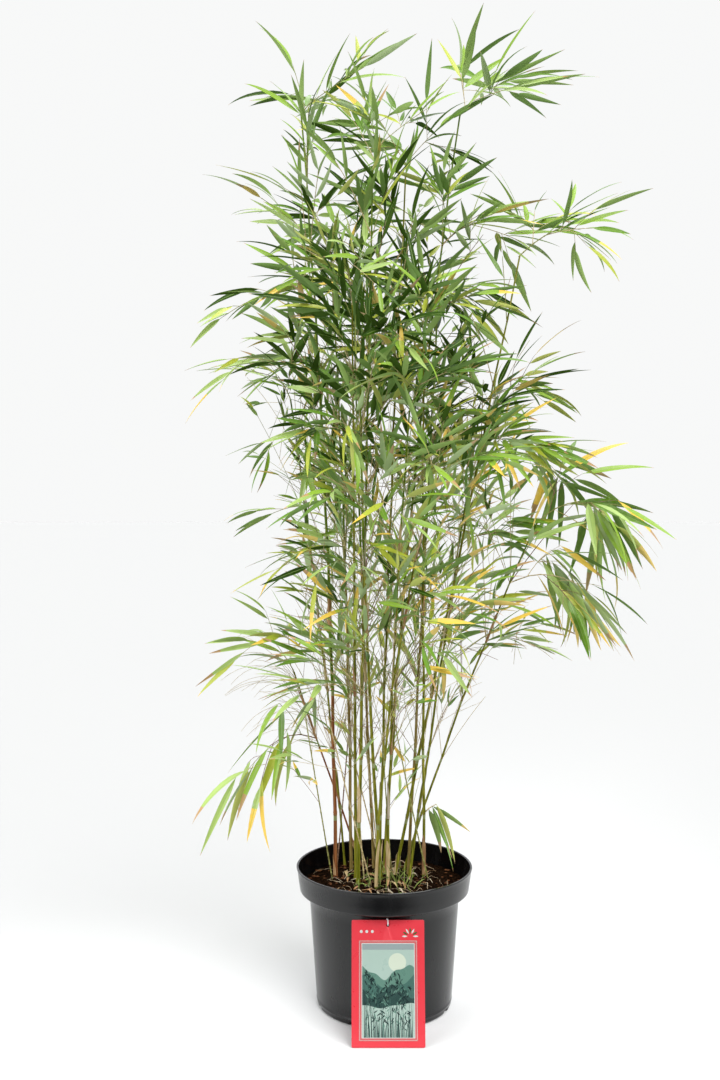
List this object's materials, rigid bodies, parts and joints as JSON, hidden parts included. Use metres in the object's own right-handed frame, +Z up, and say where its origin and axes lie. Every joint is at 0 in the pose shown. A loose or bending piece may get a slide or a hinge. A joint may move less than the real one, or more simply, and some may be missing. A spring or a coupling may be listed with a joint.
{
  "type": "potted bamboo",
  "caption": "Clump of slender leafy bamboo canes in a round black nursery pot of soil, with a picture label leaning on the pot.",
  "frame": {"origin": "middle of the pot's flat underside, on the ground", "axes": "+Z up along the canes, -Y towards the label, +X to the right of someone who faces the label"},
  "size_m": [0.7842, 0.5941, 1.61],
  "materials": {
    "pot_plastic": "black satin plastic",
    "soil_peat": "moist dark peat with straw-coloured fibres",
    "label_card": "glossy printed card, red",
    "tie_plastic": "white plastic",
    "cane": "smooth waxy green cane skin",
    "leaf": "satin green leaves on thin twigs"
  },
  "bodies": {
    "root": {"cane_01": "cane", "cane_02": "cane", "cane_03": "cane", "cane_04": "cane", "cane_05": "cane", "cane_06": "cane", "cane_07": "cane", "cane_08": "cane", "cane_09": "cane", "cane_10": "cane", "cane_11": "cane", "cane_12": "cane", "cane_13": "cane", "cane_14": "cane", "cane_15": "cane", "cane_16": "cane", "cane_17": "cane", "foliage_01a": "leaf", "foliage_01b": "leaf", "foliage_01c": "leaf", "foliage_01d": "leaf", "foliage_01e": "leaf", "foliage_02a": "leaf", "foliage_02b": "leaf", "foliage_02c": "leaf", "foliage_03a": "leaf", "foliage_03b": "leaf", "foliage_03c": "leaf", "foliage_04a": "leaf", "foliage_04b": "leaf", "foliage_05a": "leaf", "foliage_05b": "leaf", "foliage_06a": "leaf", "foliage_06b": "leaf", "foliage_07a": "leaf", "foliage_07b": "leaf", "foliage_08a": "leaf", "foliage_08b": "leaf", "foliage_09a": "leaf", "foliage_09b": "leaf", "foliage_10a": "leaf", "foliage_10b": "leaf", "foliage_11a": "leaf", "foliage_11b": "leaf", "foliage_12a": "leaf", "foliage_12b": "leaf", "foliage_13a": "leaf", "foliage_13b": "leaf", "foliage_14a": "leaf", "foliage_14b": "leaf", "foliage_15a": "leaf", "foliage_15b": "leaf", "foliage_16a": "leaf", "foliage_16b": "leaf", "foliage_16c": "leaf", "foliage_17a": "leaf", "label": "label_card", "label_tie": "tie_plastic", "pot": "pot_plastic", "soil": "soil_peat"}
  },
  "joints": []
}
